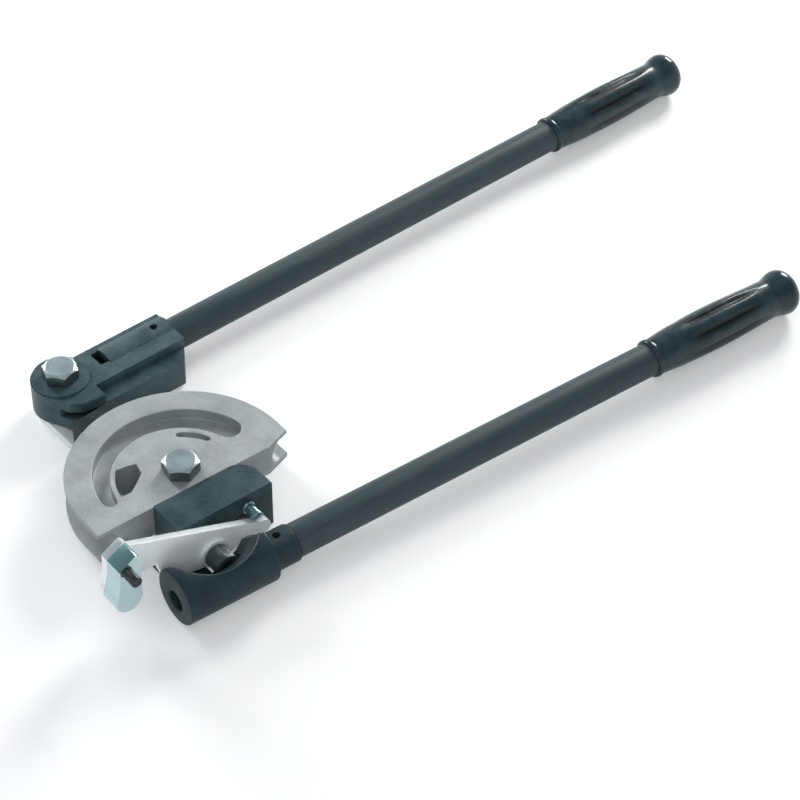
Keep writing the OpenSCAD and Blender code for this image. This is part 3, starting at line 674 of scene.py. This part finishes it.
# %% [markdown]
# ## The solids that keep their CAD shape
# Tubes, bushes, washers and buried screws are already what they should be. They could be copied like
# the castings, but nothing on them needs a round, so they only get their finish, put into the
# solid's own material slot.

# %% Finishes on the remaining solids
FINISH_OF_SLOT = {
    "painted_tube": tube_enamel, "black_grip": grip_black, "zinc_plate": bright_zinc,
    "bolt_steel": dull_zinc, "bronze": bearing_bronze, "black_oxide": blackened,
    "cast_aluminium": sand_cast, "painted_casting": cast_enamel,
}
for entry in frame["record"]["subparts"]:
    solid = frame["nodes"][entry["node"]]
    solid.data.materials.clear()
    solid.data.materials.append(FINISH_OF_SLOT[entry["material_slot"]])
    for face in solid.data.polygons:
        face.material_index = 0

# %% [markdown]
# ## The floor
# The picture was taken on white, so the tool needs white ground that still shows its shadow. A plain
# white floor would turn grey away from the lamps. So the floor is paper with a share of its own
# light, which only rays that are seen get: those of the camera, of mirror images and of glass.

# %% White floor
FLOOR_HALF, FLOOR_DROP = 6.0, 0.3 * MM
FLOOR_GLOW = 0.28


def share_seen(tree):
    """1 for rays of the camera, of mirror images and of glass, and 0 for all others."""
    rays = add_node(tree, "ShaderNodeLightPath").outputs
    mirrored = combine(tree, "MAXIMUM", rays["Is Camera Ray"], rays["Is Glossy Ray"])
    return combine(tree, "MAXIMUM", mirrored, rays["Is Transmission Ray"])


floor_mesh = bpy.data.meshes.new("white_floor")
floor_corners = [(-FLOOR_HALF, -FLOOR_HALF, 0), (FLOOR_HALF, -FLOOR_HALF, 0),
                 (FLOOR_HALF, FLOOR_HALF, 0), (-FLOOR_HALF, FLOOR_HALF, 0)]
floor_mesh.from_pydata(floor_corners, [], [(0, 1, 2, 3)])
floor = bpy.data.objects.new("white_floor", floor_mesh)
bpy.context.scene.collection.objects.link(floor)
floor.location.z = cad_low.z - FLOOR_DROP

paper, tree, shader = new_finish("white_paper")
fibre = speckle(tree, place_on_piece(tree), 30, 3)
paper_tone = between(tree, fibre, (0.92, 0.93, 0.94), (0.95, 0.955, 0.96))
tree.links.new(paper_tone, shader.inputs["Base Color"])
shader.inputs["Roughness"].default_value = 0.9
shader.inputs["Specular IOR Level"].default_value = 0.1
glow = add_node(tree, "ShaderNodeEmission", {"Color": (1, 1, 1, 1), "Strength": 1.0})
glow_share = combine(tree, "MULTIPLY", share_seen(tree), FLOOR_GLOW)
blend = add_node(tree, "ShaderNodeMixShader", {"Fac": glow_share})
tree.links.new(shader.outputs["BSDF"], blend.inputs[1])
tree.links.new(glow.outputs["Emission"], blend.inputs[2])
tree.links.new(blend.outputs["Shader"], tree.nodes["Material Output"].inputs["Surface"])
floor_mesh.materials.append(paper)
print("floor at", round(floor.location.z / MM, 2), "mm")

# %% [markdown]
# ## The light
# The shadows in the picture are pale and wide, as large soft lamps give. The world could be plain
# white, but flat metal tops would then mirror white and burn out. So it is seen white at the horizon
# and grey overhead, like a room with a dim ceiling. To all other rays it is a weak cool fill. Three
# soft lamps do the rest: one at the right, one behind and a wide weak one in front.

# %% World
FILL_TONE, FILL_STRENGTH = (0.92, 0.965, 1.0, 1), 0.46
HORIZON_TONE, CEILING_TONE = (1, 1, 1), (0.30, 0.315, 0.32)
HORIZON_BELOW, CEILING_ABOVE = 0.1, 0.6

world = bpy.data.worlds.new("white_room")
bpy.context.scene.world = world
world.use_nodes = True
tree = world.node_tree
fill = tree.nodes["Background"]
fill.inputs["Color"].default_value = FILL_TONE
fill.inputs["Strength"].default_value = FILL_STRENGTH
direction = add_node(tree, "ShaderNodeTexCoord").outputs["Generated"]
height = add_node(tree, "ShaderNodeSeparateXYZ", {"Vector": direction}).outputs["Z"]
overhead = spread(tree, height, 0, 1, HORIZON_BELOW, CEILING_ABOVE)
sweep = between(tree, overhead, HORIZON_TONE, CEILING_TONE)
room = add_node(tree, "ShaderNodeBackground", {"Color": sweep, "Strength": 1.0})
blend = add_node(tree, "ShaderNodeMixShader", {"Fac": share_seen(tree)})
tree.links.new(fill.outputs["Background"], blend.inputs[1])
tree.links.new(room.outputs["Background"], blend.inputs[2])
tree.links.new(blend.outputs["Shader"], tree.nodes["World Output"].inputs["Surface"])
print("world:", world.name, "with a fill of", FILL_STRENGTH)

# %% Lamps
LAMP_AIM = Vector((0.1, 0, 0))
# Each row: name, place and width in metres, power in watts and colour.
LAMPS = (
    ("right_softbox", (1.9, 0.75, 1.0), 0.7, 44, (1, 0.99, 0.97)),
    ("back_softbox", (-0.1, 1.9, 0.95), 0.7, 27, (1, 1, 1)),
    ("front_softbox", (-0.9, -1.3, 1.6), 1.6, 11.5, (0.95, 0.98, 1)),
)
for name, at, width, power, colour in LAMPS:
    lamp = bpy.data.lights.new(name, "AREA")
    lamp.size = width
    lamp.energy = power
    lamp.color = colour
    holder = bpy.data.objects.new(name, lamp)
    bpy.context.scene.collection.objects.link(holder)
    holder.location = at
    holder.rotation_euler = (LAMP_AIM - Vector(at)).to_track_quat("-Z", "Y").to_euler()
print("lamps:", [row[0] for row in LAMPS])

# %% [markdown]
# ## The last settings
# A film-like view transform would bend the tones, so the plain one is set and a white stays white.

bpy.context.scene.view_settings.view_transform = "Standard"
